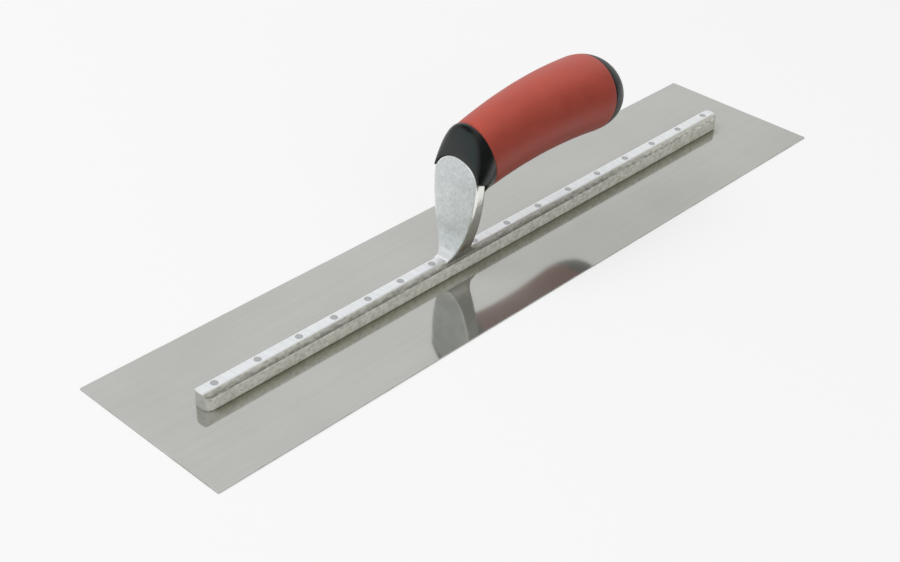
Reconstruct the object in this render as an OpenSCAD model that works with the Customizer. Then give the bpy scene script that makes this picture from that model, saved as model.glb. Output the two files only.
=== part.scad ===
// Steel finishing trowel: a flat blade riveted to a long cast mounting, with a curved soft-grip handle.
// X runs from the toe to the heel, Y across the blade and Z up from the blade's underside.

/* [Blade] */
// Length of the blade, toe to heel
blade_l = 457.2; // [406:0.1:508]
// Width of the blade
blade_w = 101.6; // [76:0.1:130]
// Thickness of the blade
blade_t = 0.8; // [0.7:0.05:1.2]

/* [Mounting bar] */
// Distance from each end of the blade to the end of the bar
bar_inset = 29.9; // [15:0.1:45]
// Width of the bar
bar_w = 11.2; // [10:0.1:16]
// Radius of the upright corners at the bar's ends
bar_end_r = 4.4; // [2:0.1:5]
// Height of the bar above the blade
bar_h = 9.85; // [7:0.05:14]
// Drop of the sloped shoulders below the bar's flat top
shoulder_h = 2.7; // [1:0.1:4]
// Width of the bar's flat top
bar_top_w = 5.8; // [5.2:0.1:9]

/* [Rivets] */
// Diameter of a rivet's shank
rivet_d = 3.2; // [2.4:0.1:3.8]
// Diameter of a rivet's peened end, flush with the bar's top
rivet_head_d = 3.8; // [3.8:0.1:4.8]
// Depth of the countersink for the peened end
rivet_head_h = 0.8; // [0.4:0.1:1.5]
// Diameter of a rivet's countersunk foot, flush with the blade's underside
rivet_foot_d = 5; // [4:0.1:7]
// Depth of the countersink in the blade
rivet_foot_h = 0.5; // [0.3:0.05:0.6]
// Distance from the bar's end to its first rivet
rivet_end = 9.4; // [7:0.1:16]
// Distance from the foot of the shank to the rivet ahead of it
rivet_shank_gap = 6; // [2.4:0.1:8]
// Distance from the foot of the shank to the rivet behind it
rivet_rear_gap = 2.8; // [2.4:0.1:8]
// Number of rivets ahead of the shank
toe_rivets = 7; // [5:1:8]
// Number of rivets behind the shank
heel_rivets = 9; // [6:1:10]
// Number of gaps at the toe that keep the heel row's pitch
toe_wide_gaps = 2; // [1:1:2]

/* [Shank] */
// Place of the shank's front face along the bar, at the bar's top
shank_x = -35.2; // [-60:0.1:-20]
// Backward lean of the front face, in degrees
shank_lean = 4.7; // [0:0.1:9]
// Depth of the shank at the bar's top, front to rear
shank_d = 10.9; // [10:0.1:16]
// Height of the shank's widest level above the bar
shank_h = 43.05; // [38:0.05:52]
// Inset of the shank's foot from each side of the bar
foot_inset = 1; // [0.2:0.1:1.5]
// Width of the shank's head
shank_head_w = 30.4; // [26:0.1:33]
// Height of the head's round top above its widest level
head_rise = 13.2; // [11:0.1:14]
// Power of the curve from foot to head
shank_flare_power = 0.8; // [0.7:0.05:1.5]
// Radius of the front edges
shank_front_r = 1.4; // [0.6:0.1:2.5]
// Radius of the rear edges
shank_rear_r = 2; // [1:0.1:5]
// Forward sweep of the front face at its foot
foot_reach = 3.2; // [0:0.1:6]
// Height of the forward sweep
foot_rise = 14; // [8:0.1:24]
// Power of the forward sweep's curve
foot_power = 1.5; // [1:0.1:3]
// Fillet from the front face to the bar
foot_front_r = 3.2; // [2:0.1:8]
// Fillet from the rear face to the bar
foot_rear_r = 6; // [2:0.1:8]

/* [Handle] */
// Length of the grip sleeve along the handle's bent axis
grip_l = 89.6; // [75:0.1:105]
// Radius of the handle's bend
grip_arc_r = 255; // [200:1:400]
// Climb of the axis at the sleeve's front end, in degrees
grip_pitch = 13.4; // [8:0.1:16]
// Height of the grip at its front end, top to bottom
grip_front_h = 40.5; // [38:0.1:46]
// Greatest height of the grip, near its rear end
grip_h = 42.7; // [38:0.1:46]
// Width of the grip at its front end
grip_front_w = 31.3; // [31:0.1:36]
// Greatest width of the grip, near its rear end
grip_rear_w = 43.4; // [36:0.1:50]
// Length over which the grip rounds in towards its rear end
grip_round = 6.4; // [1:0.1:16]
// Wall of the soft sleeve
sleeve_t = 2.8; // [1.5:0.1:3.5]
// Distance from the shank's front face to the sleeve's front end
collar_l = 13.75; // [11:0.05:18]
// Rise of the sleeve's front end above the shank's widest level
collar_rise = 9.55; // [8:0.05:11]
// Thickness of the collar's lip round the shank's head
collar_lip = 0.6; // [0.5:0.1:2]
// Height of the collar's lower edge above the shank's widest level, at the front
collar_hem = 3.4; // [1:0.1:5]
// Drop of the collar's lower edge towards the rear, in degrees
collar_hem_slope = 16; // [0:1:25]
// Fullness of the collar's round nose
collar_power = 3; // [2:0.1:4]
// Extra half-height in the middle of the collar
collar_crown = 2.8; // [0:0.1:3.5]
// Power of the curve of the collar's underside
collar_tuck = 2.6; // [1:0.1:3]
// Extra half-width in the middle of the collar
collar_swell = 1.1; // [0:0.1:1.5]
// Length of the domed end cap
cap_l = 19.7; // [10:0.1:24]
// Drop of the cap's tip below the handle's bent axis
cap_drop = 3.7; // [0:0.1:6]
// Fullness of the round rear end of the grip and cap
cap_power = 2.25; // [2:0.05:3]

/* [Handle fixing] */
// Diameter of the round tang cast on the shank
tang_d = 14; // [12:0.1:15]
// Length of the tang behind the shank
tang_l = 26; // [20:0.1:34]
// Height of the tang above the shank's widest level
tang_rise = 2.3; // [1.5:0.1:3]
// Diameter of the handle bolt
bolt_d = 8; // [5:0.1:8]
// Length of the bolt inside the tang
bolt_grip = 18; // [12:0.1:20]
// Width of the bolt's hexagonal head across its corners
bolt_head_d = 15; // [12:0.1:15]
// Height of the bolt's head
bolt_head_h = 5.3; // [3:0.1:6]
// Diameter of the washer
washer_d = 16; // [15:0.1:17]
// Thickness of the washer
washer_t = 1.6; // [1:0.1:2]
// Room round the washer in the core's rear recess
recess_gap = 1; // [0.3:0.1:2]
// Free length of the recess between the bolt's head and the end cap's plug
recess_air = 7; // [2:0.1:10]
// Length of the end cap's plug inside the recess
plug_l = 10; // [6:0.1:11]

/* [Hidden] */
$fn = 96;

// Clearances: rivets in their holes, sleeve on core, collar round the shank's head, round pieces in bores
rivet_gap = 0.05;
sleeve_gap = 0.1;
head_gap = 0.2;
bore_gap = 0.15;
// Overlap of pieces that are cast or moulded as one, and overshoot of cuts
root = 3;
over = 1;
// Depth at which the foot fillets run out below the bar's top
foot_sink = 0.3;

// Number of sides and steps of the curved surfaces
grip_sides = 40;
grip_steps = 18;
nose_steps = 10;
cap_steps = 10;
corner_steps = 5;
foot_steps = 8;
shank_steps = 12;
head_steps = 8;
// Angles at which the head's round top and the cap's dome end in a small flat
head_end = 84;
cap_end = 86;

bar_l = blade_l - 2 * bar_inset;
bar_top = blade_t + bar_h;
head_z = bar_top + shank_h;
shank_foot_w = bar_w - 2 * foot_inset;
shank_rear = shank_x + shank_d;
head_x = front_x(head_z);
ring_x = head_x + collar_l;
ring_z = head_z + collar_rise;
collar_w = shank_head_w + 2 * collar_lip;
collar_top = head_rise + collar_lip;
widest = grip_l - grip_round;

// Rivet rows: each runs from the bar's end to the shank's foot
rivet_first = bar_l / 2 - rivet_end;
toe_last = shank_x - foot_reach - foot_front_r - rivet_shank_gap;
heel_last = shank_rear + foot_rear_r + rivet_rear_gap;
heel_pitch = (rivet_first - heel_last) / (heel_rivets - 1);
toe_bend = -rivet_first + toe_wide_gaps * heel_pitch;
toe_pitch = (toe_last - toe_bend) / (toe_rivets - 1 - toe_wide_gaps);
toe_row = [for (i = [0:toe_rivets - 1])
    i < toe_wide_gaps ? -rivet_first + i * heel_pitch : toe_bend + (i - toe_wide_gaps) * toe_pitch];
heel_row = [for (i = [0:heel_rivets - 1]) rivet_first - i * heel_pitch];
rivet_row = concat(toe_row, heel_row);

// Bolt line: from the shank's rear face to the centre of the grip's rear end
bolt_z = head_z + tang_rise;
bolt_run = axis_x(grip_l) - shank_rear;
bolt_climb = axis_z(grip_l) - bolt_z;
bolt_slope = atan2(bolt_climb, bolt_run);
bolt_l = norm([bolt_run, bolt_climb]);
recess_d = washer_d + 2 * recess_gap;
recess_l = washer_t + bolt_head_h + recess_air + plug_l;
washer_at = bolt_l - recess_l;
bolt_foot = tang_l - bolt_grip;

steel = [0.72, 0.72, 0.70];
cast = [0.80, 0.81, 0.80];
rivet_grey = [0.62, 0.63, 0.62];
black = [0.12, 0.13, 0.13];
red = [0.66, 0.26, 0.23];
zinc = [0.66, 0.67, 0.68];

function lerp(a, b, t) = a + (b - a) * t;

// Front face of the shank at a height, without its foot
function front_x(z) = shank_x + (z - bar_top) * tan(shank_lean);

// Reach of the front face's forward sweep at height h above the bar
function foot_sweep(h) = foot_reach * pow(max(0, 1 - h / foot_rise), foot_power);

// Reach of a foot fillet of radius r at height h above its run-out
function fillet(r, h) = h <= 0 ? r : h >= r ? 0 : r - sqrt(r * r - (r - h) * (r - h));

// Bent axis of the handle at arc length l behind the sleeve's front end
function bend(l) = l / grip_arc_r * 180 / PI - grip_pitch;
function axis_x(l) = ring_x + grip_arc_r * (sin(bend(l)) + sin(grip_pitch));
function axis_z(l) =
    ring_z + grip_arc_r * (cos(bend(l)) - cos(grip_pitch)) - cap_drop * pow(tail(l), 2);

// Share of the way from the grip's widest place to the cap's tip
function tail(l) = max(0, (l - widest) / (grip_round + cap_l));

// Width and height of the grip and cap, which round in towards the tip
function rounding(l) = pow(1 - pow(tail(l), cap_power), 1 / cap_power);
function half_w(l) = lerp(grip_front_w, grip_rear_w, min(1, l / widest)) / 2 * rounding(l);
function half_h(l) = lerp(grip_front_h, grip_h, min(1, l / widest)) / 2 * rounding(l);

// Ring of points round an oval of half-width a, reaching up and down from its centre, leaning by tilt
function oval(x, z, tilt, a, up, down) = [for (i = [0:grip_sides - 1])
    let (t = 360 * i / grip_sides, b = sin(t) > 0 ? up : down)
    [x + sin(tilt) * b * sin(t), a * cos(t), z + cos(tilt) * b * sin(t)]];

// Ring of the grip at arc length l, set in from its outer surface
function grip_ring(l, inset) =
    let (b = half_h(l) - inset)
    oval(axis_x(l), axis_z(l), bend(l), half_w(l) - inset, b, b);

// Rings of the collar's nose, from the shank's front face back to the sleeve
function nose_ring(q) =
    let (full = pow(1 - pow(1 - q, collar_power), 1 / collar_power), hump = 4 * q * (1 - q))
    oval(lerp(head_x + head_gap, ring_x, q), lerp(head_z, ring_z, q), lerp(shank_lean, -grip_pitch, q),
        lerp(collar_w, grip_front_w, q) / 2 + collar_swell * hump,
        lerp(collar_top, grip_front_h / 2, full) + collar_crown * hump,
        lerp(collar_top, grip_front_h / 2, pow(q, collar_tuck)));

// Arc of points round one corner of the shank's section
function corner(x, y, r, from) = [for (i = [0:corner_steps])
    let (t = from + 90 * i / corner_steps)
    [x + r * cos(t), y + r * sin(t)]];

// Rounded section of the shank at height z, of half-width w
function shank_ring(z, w) =
    let (h = z - bar_top + foot_sink, f = min(shank_front_r, w), r = min(shank_rear_r, w),
        xf = front_x(z) - foot_sweep(z - bar_top) - fillet(foot_front_r, h),
        xr = shank_rear + fillet(foot_rear_r, h),
        outline = concat(corner(xr - r, r - w, r, -90), corner(xr - r, w - r, r, 0),
            corner(xf + f, w - f, f, 90), corner(xf + f, f - w, f, 180)))
    [for (p = outline) [p.x, p.y, z]];

// Half-width of the shank at height z below its widest level
function shank_half_w(z) =
    let (u = max(0, (z - bar_top) / shank_h))
    lerp(shank_foot_w, shank_head_w, pow(sin(90 * u), shank_flare_power)) / 2;

// Triangles between a stack of rings of n points, with the last ring joined to the first for a tube
function side_faces(rings, n, tube) = [for (k = [0:rings - (tube ? 1 : 2)], i = [0:n - 1])
    let (j = (i + 1) % n, a = k * n, b = (k + 1) % rings * n)
    each [[a + i, b + i, b + j], [a + i, b + j, a + j]]];

// Closed solid through a stack of rings, with flat ends
module loft(rings) {
    n = len(rings[0]);
    last = (len(rings) - 1) * n;
    polyhedron([for (r = rings) each r],
        concat([[for (i = [0:n - 1]) i]], side_faces(len(rings), n, false),
            [[for (i = [n - 1:-1:0]) last + i]]));
}

// Closed tube through a loop of rings
module loft_tube(rings) {
    polyhedron([for (r = rings) each r], side_faces(len(rings), len(rings[0]), true));
}

// Moves children from the Z axis to the bolt line
module along_bolt() {
    translate([shank_rear, 0, bolt_z]) rotate([0, 90 - bolt_slope, 0]) children();
}

// One rivet standing on the blade's underside, grown by a clearance for its hole
module rivet_form(gap) {
    cylinder(h = bar_top, d = rivet_d + 2 * gap);
    cylinder(h = rivet_foot_h, d1 = rivet_foot_d + 2 * gap, d2 = rivet_d + 2 * gap);
    translate([0, 0, bar_top - rivet_head_h])
        cylinder(h = rivet_head_h, d1 = rivet_d + 2 * gap, d2 = rivet_head_d + 2 * gap);
}

module rivet_set(gap) {
    for (x = rivet_row) translate([x, 0, 0]) rivet_form(gap);
}

// Bar with rounded corners, upright sides and sloped shoulders
module bar() {
    side_z = bar_top - shoulder_h;
    corner_x = bar_l / 2 - bar_end_r;
    corner_y = bar_w / 2 - bar_end_r;
    intersection() {
        translate([0, 0, blade_t]) linear_extrude(bar_h) {
            square([2 * corner_x, bar_w], center = true);
            square([bar_l, 2 * corner_y], center = true);
            for (x = [-corner_x, corner_x], y = [-corner_y, corner_y])
                translate([x, y]) circle(r = bar_end_r);
        }
        rotate([90, 0, 90]) linear_extrude(bar_l + 2 * over, center = true)
            polygon([[-bar_w / 2, blade_t], [bar_w / 2, blade_t], [bar_w / 2, side_z],
                [bar_top_w / 2, bar_top], [-bar_top_w / 2, bar_top], [-bar_w / 2, side_z]]);
    }
}

// Tongue-shaped shank, with fillets at its foot and a round head
module shank() {
    foot_z = bar_top - foot_sink;
    foot_r = max(foot_front_r, foot_rear_r);
    foot = [for (i = [0:foot_steps]) foot_z + foot_r * (1 - cos(90 * i / foot_steps))];
    body = [for (i = [1:shank_steps]) lerp(foot_z + foot_r, head_z, i / shank_steps)];
    loft(concat(
        [for (z = concat([foot_z - root], foot, body)) shank_ring(z, shank_half_w(z))],
        [for (i = [1:head_steps]) let (t = head_end * i / head_steps)
            shank_ring(head_z + head_rise * sin(t), shank_head_w / 2 * cos(t))]));
}

// Space for the shank's head in the collar: its round top, and everything below the collar's lower edge
module head_space() {
    half_w = shank_head_w / 2 + head_gap;
    rise = head_rise + head_gap;
    depth = shank_rear + head_gap - head_x;
    fall = tan(collar_hem_slope);
    arch = [for (i = [0:grip_sides])
        let (t = 180 * i / grip_sides)
        [half_w * cos(t), rise * sin(t)]];
    translate([head_x, 0, head_z]) {
        translate([depth, 0, 0]) rotate([90, 0, -90]) linear_extrude(depth + collar_l)
            polygon(concat(arch, [[-half_w, -grip_front_h], [half_w, -grip_front_h]]));
        rotate([90, 0, 0]) linear_extrude(2 * collar_w, center = true)
            polygon([[-collar_l, -grip_front_h], [depth, -grip_front_h], [depth, collar_hem - depth * fall],
                [-collar_l, collar_hem + collar_l * fall]]);
    }
}

module blade() {
    color(steel) difference() {
        translate([-blade_l / 2, -blade_w / 2, 0]) cube([blade_l, blade_w, blade_t]);
        rivet_set(rivet_gap);
    }
}

module mounting() {
    color(cast) difference() {
        union() {
            bar();
            shank();
            along_bolt() translate([0, 0, -root]) cylinder(h = tang_l + root, d = tang_d);
        }
        rivet_set(rivet_gap);
        along_bolt() translate([0, 0, bolt_foot]) cylinder(h = bolt_grip + over, d = bolt_d + 2 * bore_gap);
    }
}

module rivets() {
    color(rivet_grey) rivet_set(0);
}

module handle_core() {
    body = [for (i = [0:grip_steps]) grip_ring(grip_l * i / grip_steps, sleeve_t + sleeve_gap)];
    nose = [for (i = [0:nose_steps]) nose_ring(1 - cos(90 * i / nose_steps))];
    color(black) difference() {
        loft(concat(nose, body));
        head_space();
        along_bolt() cylinder(h = tang_l + bore_gap, d = tang_d + 2 * bore_gap);
        along_bolt() cylinder(h = bolt_l, d = bolt_d + 2 * bore_gap);
        along_bolt() translate([0, 0, washer_at]) cylinder(h = 2 * recess_l, d = recess_d);
    }
}

module grip_sleeve() {
    outer = [for (i = [0:grip_steps]) grip_ring(grip_l * i / grip_steps, 0)];
    inner = [for (i = [grip_steps:-1:0]) grip_ring(grip_l * i / grip_steps, sleeve_t)];
    color(red) loft_tube(concat(outer, inner));
}

module end_cap() {
    start = asin(grip_round / (grip_round + cap_l));
    dome = [for (i = [0:cap_steps])
        let (t = lerp(start, cap_end, i / cap_steps))
        grip_ring(widest + (grip_round + cap_l) * sin(t), 0)];
    color(black) {
        loft(dome);
        along_bolt() translate([0, 0, bolt_l - plug_l])
            cylinder(h = plug_l + root, d = recess_d - 2 * bore_gap);
    }
}

module handle_bolt() {
    head_at = washer_at + washer_t;
    color(zinc) along_bolt() {
        translate([0, 0, bolt_foot]) cylinder(h = head_at - bolt_foot, d = bolt_d);
        translate([0, 0, head_at]) cylinder(h = bolt_head_h, d = bolt_head_d, $fn = 6);
    }
}

module washer() {
    color(zinc) along_bolt() translate([0, 0, washer_at]) difference() {
        cylinder(h = washer_t, d = washer_d);
        translate([0, 0, -over]) cylinder(h = washer_t + 2 * over, d = bolt_d + 2 * bore_gap);
    }
}

blade();
mounting();
rivets();
handle_core();
grip_sleeve();
end_cap();
handle_bolt();
washer();
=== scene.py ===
"""Looks of the steel finishing trowel: detailed pieces, finishes, soft studio light and the camera."""
import math

import bmesh
import bpy
import numpy as np
from mathutils import Matrix, Vector

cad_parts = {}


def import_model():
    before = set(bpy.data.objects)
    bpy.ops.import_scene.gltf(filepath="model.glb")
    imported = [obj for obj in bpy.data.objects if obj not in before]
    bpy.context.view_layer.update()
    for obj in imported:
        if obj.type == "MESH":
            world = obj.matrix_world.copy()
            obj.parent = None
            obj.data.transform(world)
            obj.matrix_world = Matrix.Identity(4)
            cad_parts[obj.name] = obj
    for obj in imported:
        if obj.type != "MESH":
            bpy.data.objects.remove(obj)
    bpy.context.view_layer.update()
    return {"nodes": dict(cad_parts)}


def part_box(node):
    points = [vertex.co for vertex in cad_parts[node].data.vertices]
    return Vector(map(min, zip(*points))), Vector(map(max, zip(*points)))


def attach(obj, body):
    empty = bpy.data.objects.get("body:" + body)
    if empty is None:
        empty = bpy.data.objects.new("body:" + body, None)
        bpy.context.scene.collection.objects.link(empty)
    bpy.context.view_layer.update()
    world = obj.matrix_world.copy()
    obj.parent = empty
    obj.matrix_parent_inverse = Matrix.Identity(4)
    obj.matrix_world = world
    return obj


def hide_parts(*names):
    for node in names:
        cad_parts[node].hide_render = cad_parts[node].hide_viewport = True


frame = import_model()

MM = 0.001


def lerp(low, high, share):
    return low + (high - low) * share


def grey(level, warmth=0.0):
    """A grey that loses blue where it is warm, and red where it is cool."""
    return (level * (1 + min(0, warmth)), level, level * (1 - max(0, warmth)), 1.0)


# Blade and bar
BLADE_LOW, BLADE_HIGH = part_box("blade")
BLADE_L = BLADE_HIGH.x - BLADE_LOW.x
BLADE_W = BLADE_HIGH.y - BLADE_LOW.y
BLADE_T = BLADE_HIGH.z
BLADE_EDGE_R = 0.15 * MM
BLADE_CORNER_R = 0.9 * MM
BAR_W = 11.2 * MM
BAR_H = 9.85 * MM
SHOULDER_H = 2.7 * MM
BAR_INSET = 29.9 * MM
BAR_L = BLADE_L - 2 * BAR_INSET
BAR_TOP = BLADE_T + BAR_H
SIDE_TOP = BAR_TOP - SHOULDER_H

# Rivets
RIVET_R = 1.6 * MM
RIVET_HEAD_R = 1.9 * MM
RIVET_HEAD_H = 0.8 * MM
RIVET_FOOT_R = 2.5 * MM
RIVET_FOOT_H = 0.5 * MM
RIVET_GAP = 0.05 * MM
RIVET_RIM = 0.15 * MM
RIVET_DOME = 0.02 * MM
RIVET_FLAT_R = RIVET_HEAD_R / 2
HOLE_REACH = 0.02 * MM

# Shank and its head
SHANK_X = -35.2 * MM
SHANK_LEAN = math.radians(4.7)
SHANK_D = 10.9 * MM
SHANK_H = 43.05 * MM
HEAD_W = 30.4 * MM
HEAD_RISE = 13.2 * MM
SHANK_REAR = SHANK_X + SHANK_D
HEAD_Z = BAR_TOP + SHANK_H
HEAD_X = SHANK_X + SHANK_H * math.tan(SHANK_LEAN)

# Softness of the casting: rounds of smoothing all over, at the shank's foot and at the worn heel end
CAST_ROUNDS = 4
FOOT_ROUNDS = 8
FOOT_MIDDLE = np.array((SHANK_X + SHANK_D / 2, 0, BAR_TOP + 2 * MM))
FOOT_REACH = np.array((22 * MM, 9 * MM, 9 * MM))
FOOT_STEEPNESS = 1.6
HEEL_ROUNDS = 24
HEEL_WEAR_AT_END = 1.3
HEEL_WEAR_L = 3 * MM
HEEL_WEAR_H = 4 * MM

# Plugs that keep the rivet holes shut while the casting is smoothed
FILL_MARGIN = 0.3 * MM
FILL_R = RIVET_HEAD_R + FILL_MARGIN
FILL_LOW = BLADE_T + MM

# Handle
GRIP_L = 89.6 * MM
GRIP_ARC_R = 255 * MM
GRIP_PITCH = math.radians(13.4)
GRIP_FRONT_H = 40.5 * MM
GRIP_H = 42.7 * MM
GRIP_FRONT_W = 31.3 * MM
GRIP_REAR_W = 43.4 * MM
GRIP_ROUND = 6.4 * MM
SLEEVE_T = 2.8 * MM
SLEEVE_GAP = 0.1 * MM
SHUT_LINE_R = 0.7 * MM
COLLAR_L = 13.75 * MM
COLLAR_RISE = 9.55 * MM
COLLAR_LIP = 0.6 * MM
COLLAR_HEM = 3.4 * MM
COLLAR_HEM_SLOPE = math.radians(16)
COLLAR_POWER = 3
COLLAR_CROWN = 2.8 * MM
COLLAR_TUCK = 2.6
COLLAR_SWELL = 1.1 * MM
COLLAR_ROUNDS = 10
CAP_L = 19.7 * MM
CAP_DROP = 3.7 * MM
CAP_POWER = 2.25
CAP_LAST_TURN = math.radians(86)
WIDEST = GRIP_L - GRIP_ROUND
ROUND_L = GRIP_ROUND + CAP_L
HEAD_GAP = 0.2 * MM
RING_X = HEAD_X + COLLAR_L
RING_Z = HEAD_Z + COLLAR_RISE
COLLAR_W = HEAD_W + 2 * COLLAR_LIP
COLLAR_TOP = HEAD_RISE + COLLAR_LIP

# Fixing inside the handle
TANG_R = 7 * MM
TANG_L = 26 * MM
TANG_RISE = 2.3 * MM
BOLT_R = 4 * MM
BORE_GAP = 0.15 * MM
BOLT_GRIP = 18 * MM
WASHER_R = 8 * MM
RECESS_GAP = 1 * MM
RECESS_R = WASHER_R + RECESS_GAP
PLUG_L = 10 * MM
PLUG_IN_CAP = 4 * MM

# Cutters of the collar and core: how far they reach past what they cut, their half width and lower end
BORE_AHEAD = MM
RECESS_PAST = 3 * MM
HEM_AHEAD = 5 * MM
HEAD_AHEAD = 9 * MM
CUTTER_HALF_W = 40 * MM
CUTTER_LOW = 20 * MM

# Fineness of the meshes: steps round or along a shape, voxels, shares of faces kept, creases in degrees
RIVET_STEPS = 28
EDGE_STEPS = 4
CORNER_STEPS = 6
ROD_STEPS = 40
HEAD_STEPS = 64
GRIP_SIDES = 96
NOSE_STEPS = 40
CORE_STEPS = 30
SHUT_LINE_STEPS = 6
SLEEVE_OUTER_STEPS = 72
SLEEVE_INNER_STEPS = 24
CAP_STEPS = 40
CAST_VOXEL = 0.45 * MM
COLLAR_VOXEL = 0.4 * MM
CAST_KEPT = 0.4
COLLAR_KEPT = 0.35
RIVET_CREASE = 30
COLLAR_CREASE = 40
CAST_CREASE = 50
HANDLE_CREASE = 50

# Smoothing pulls each point inward by the first share, and pushes it back by the second to keep the size
PULL_IN = 0.5
PUSH_OUT = -0.53

# Where the values of a noise pattern lie: nearly all of them, and the middle that is stretched for colours
NOISE_RANGE = (0.3, 0.7)
NOISE_MIDDLE = (0.35, 0.65)

# Finishes follow, with their patterns in waves per metre, in all directions alike or along X, Y and Z

# Blade's finish
BRUSH_FINE = (30, 3200, 300)
BRUSH_BROAD = (6, 260, 60)
BRUSH_DEPTH = 0.001 * MM
STEEL_CLOUDS = 16
STEEL_COLOURS = ((0.452, 0.452, 0.415, 1), (0.507, 0.507, 0.466, 1))
STEEL_ROUGHNESS = (0.06, 0.10)
RIM_W = MM
RIM_SHARE = 0.6
RIM_PATCHES = 90
RIM_RANGE = (0.4, 0.65)
RIM_COLOUR = grey(0.62)
# Painted shade on the blade beside the bar: its width, share, where it ends past the bar's ends, how much
# sooner on the far side, and its colour
BAR_SHADE_W = 6 * MM
BAR_SHADE_SHARE = 0.95
BAR_SHADE_END = (-2 * MM, -6 * MM)
BAR_SHADE_FAR_SHIFT = 8 * MM
BAR_SHADE_COLOUR = grey(0.26, 0.3)

# Zones of the casting by height: where each begins and where it is full
BELOW_TOP = (BAR_TOP, BAR_TOP - 0.5 * MM)
GROUND_FROM = (BAR_TOP - 1.4 * MM, BAR_TOP - MM)
GROUND_TO = (BAR_TOP + 0.5 * MM, BAR_TOP + 0.2 * MM)
SIDE_TO = (SIDE_TOP + 0.6 * MM, SIDE_TOP + 0.1 * MM)
ABOVE_SIDE = (SIDE_TOP + 0.1 * MM, SIDE_TOP + 0.6 * MM)
FILLET_FROM = (BAR_TOP - 0.3 * MM, BAR_TOP)
ABOVE_FILLET = (BAR_TOP + 3 * MM, BAR_TOP + 5 * MM)
FOOT_TO = (BAR_TOP + 16 * MM, BAR_TOP + 5 * MM)
FLANK_TO = (BAR_TOP + 28 * MM, BAR_TOP + 16 * MM)
CORNER_TO = (BAR_TOP + 3 * MM, BAR_TOP + MM)

# Zones of the casting along and across the bar
CORNER_FROM_X = (SHANK_REAR - 4 * MM, SHANK_REAR - 2 * MM)
CORNER_TO_X = (SHANK_REAR + 9 * MM, SHANK_REAR + 5 * MM)
CORNER_FROM_Y = (1.6 * MM, 3 * MM)
HEEL_RUB_X = (0.1 * BAR_L, 0.45 * BAR_L)

# Zones of the casting by a part of the surface's normal
LEVEL_UP = (0.8, 0.95)
UPRIGHT_UP = (0.5, 0.3)
FOOT_UP = (0.08, 0.3)
END_ALONG = (0.6, 0.9)
FRONT_ALONG = (-0.85, -0.96)
FOOT_ALONG = (-0.2, -0.5)
FILLET_ALONG = (-0.15, -0.35)
FLANK_ACROSS = (0.5, 0.8)

# Casting's finish: patterns
CAST_GRAIN = 1500
CAST_CLOUDS = 160
CAST_BLOTS = 420
SKIN_SPECKLE = 620
SIDE_SPECKS = (200, 900, 1400)
SHOULDER_SPECKS = (300, 900, 900)
GRIND_MARKS = (2200, 120, 120)

# Casting's finish: colours
POLISH_COLOURS = (grey(0.92, 0.05), grey(0.99, 0.05))
SKIN_COLOURS = (grey(0.72, -0.006), grey(0.99, -0.004))
SIDE_COLOURS = (grey(0.65, 0.13), grey(0.96, 0.09))
SHOULDER_COLOURS = (grey(0.2, 0.12), grey(0.96, 0.07))
GROUND_COLOURS = (grey(0.82, -0.02), grey(0.93, -0.02))
END_COLOUR = grey(0.70, 0.1)
# Colour of painted shade on the foot of the shank's front
FOOT_COLOUR = grey(0.45)
FILLET_COLOUR = grey(0.70, -0.02)
PIT_COLOUR = grey(0.30)
# Colour of painted shade on the lower flanks and in the corners behind the shank's foot
CAST_SHADE_COLOUR = grey(0.3, 0.2)
# Colour of painted shade at the foot of the bar's sides
SIDE_SHADE_COLOUR = grey(0.3, 0.25)

# Casting's finish: how strongly some zones show over the rest
END_SHARE = 0.7
# The foot's share is of painted shade on the lower part of the shank's front
FOOT_SHARE = 0.2
# The flanks' share is of painted shade on their lower part
FLANK_SHARE = 0.62
PIT_SHARE = 0.6
# The corners' share is of painted shade behind the shank's foot
CORNER_SHARE = 0.85
# Painted shade on the bar's sides where they meet the blade: its share, and the heights where it begins and
# where it is full
SIDE_SHADE_SHARE = 0.2
SIDE_SHADE_TO = (BLADE_T + 1.2 * MM, BLADE_T)

# Casting's finish: levels that make up the tones of its pits, skins and shoulders
PIT_RANGE = (0.72, 0.78)
SKIN_RANGE = (0.38, 0.74)
SIDE_RANGE = (0.38, 0.6)
# Painted light and shade on the skin by height: lighter up to below the shank's middle, darker towards the
# head
SKIN_LOW_Z = (BAR_TOP + 10 * MM, BAR_TOP + 18 * MM)
SKIN_LOW_LIFT = (0.03, 0.12)
SKIN_HIGH_Z = (BAR_TOP + 22 * MM, HEAD_Z)
SKIN_HIGH_LIFT = (0.12, -0.05)
# The shoulder's fall is painted shade, darkest at its lower edge and lightest at the top
SHOULDER_FALL = (-0.2, 0.9)
SHOULDER_SPECK_LIFT = (-0.2, 0.4)
SHOULDER_BLOT_LIFT = (-0.14, 0.14)
SHOULDER_RUB_LIFT = (0.35, 0.9)

# Casting's finish: roughness, how metallic it is from polished metal to the bar, and its relief
CAST_ROUGHNESS = (0.2, 0.28)
RAW_ROUGHNESS = 0.26
GROUND_ROUGHNESS = 0.16
CAST_METAL = (0.92, 0.2)
METAL_LOSS = {"side": 0.15, "end": 0.5, "foot": 0.25, "fillet": 0.7, "ground": 0.15, "corner": 0.5}
CAST_DEPTH = 0.05 * MM
CAST_RELIEF = (0.15, 1)

# Rivets' finish
RIVET_MARKS = (2400, 160, 160)
RIVET_BLOTS = 420
RIVET_COLOURS = (grey(0.42, -0.01), grey(0.50, -0.01))
RIVET_ROUGHNESS = (0.25, 0.4)
RIVET_DEPTH = 0.02 * MM

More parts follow.
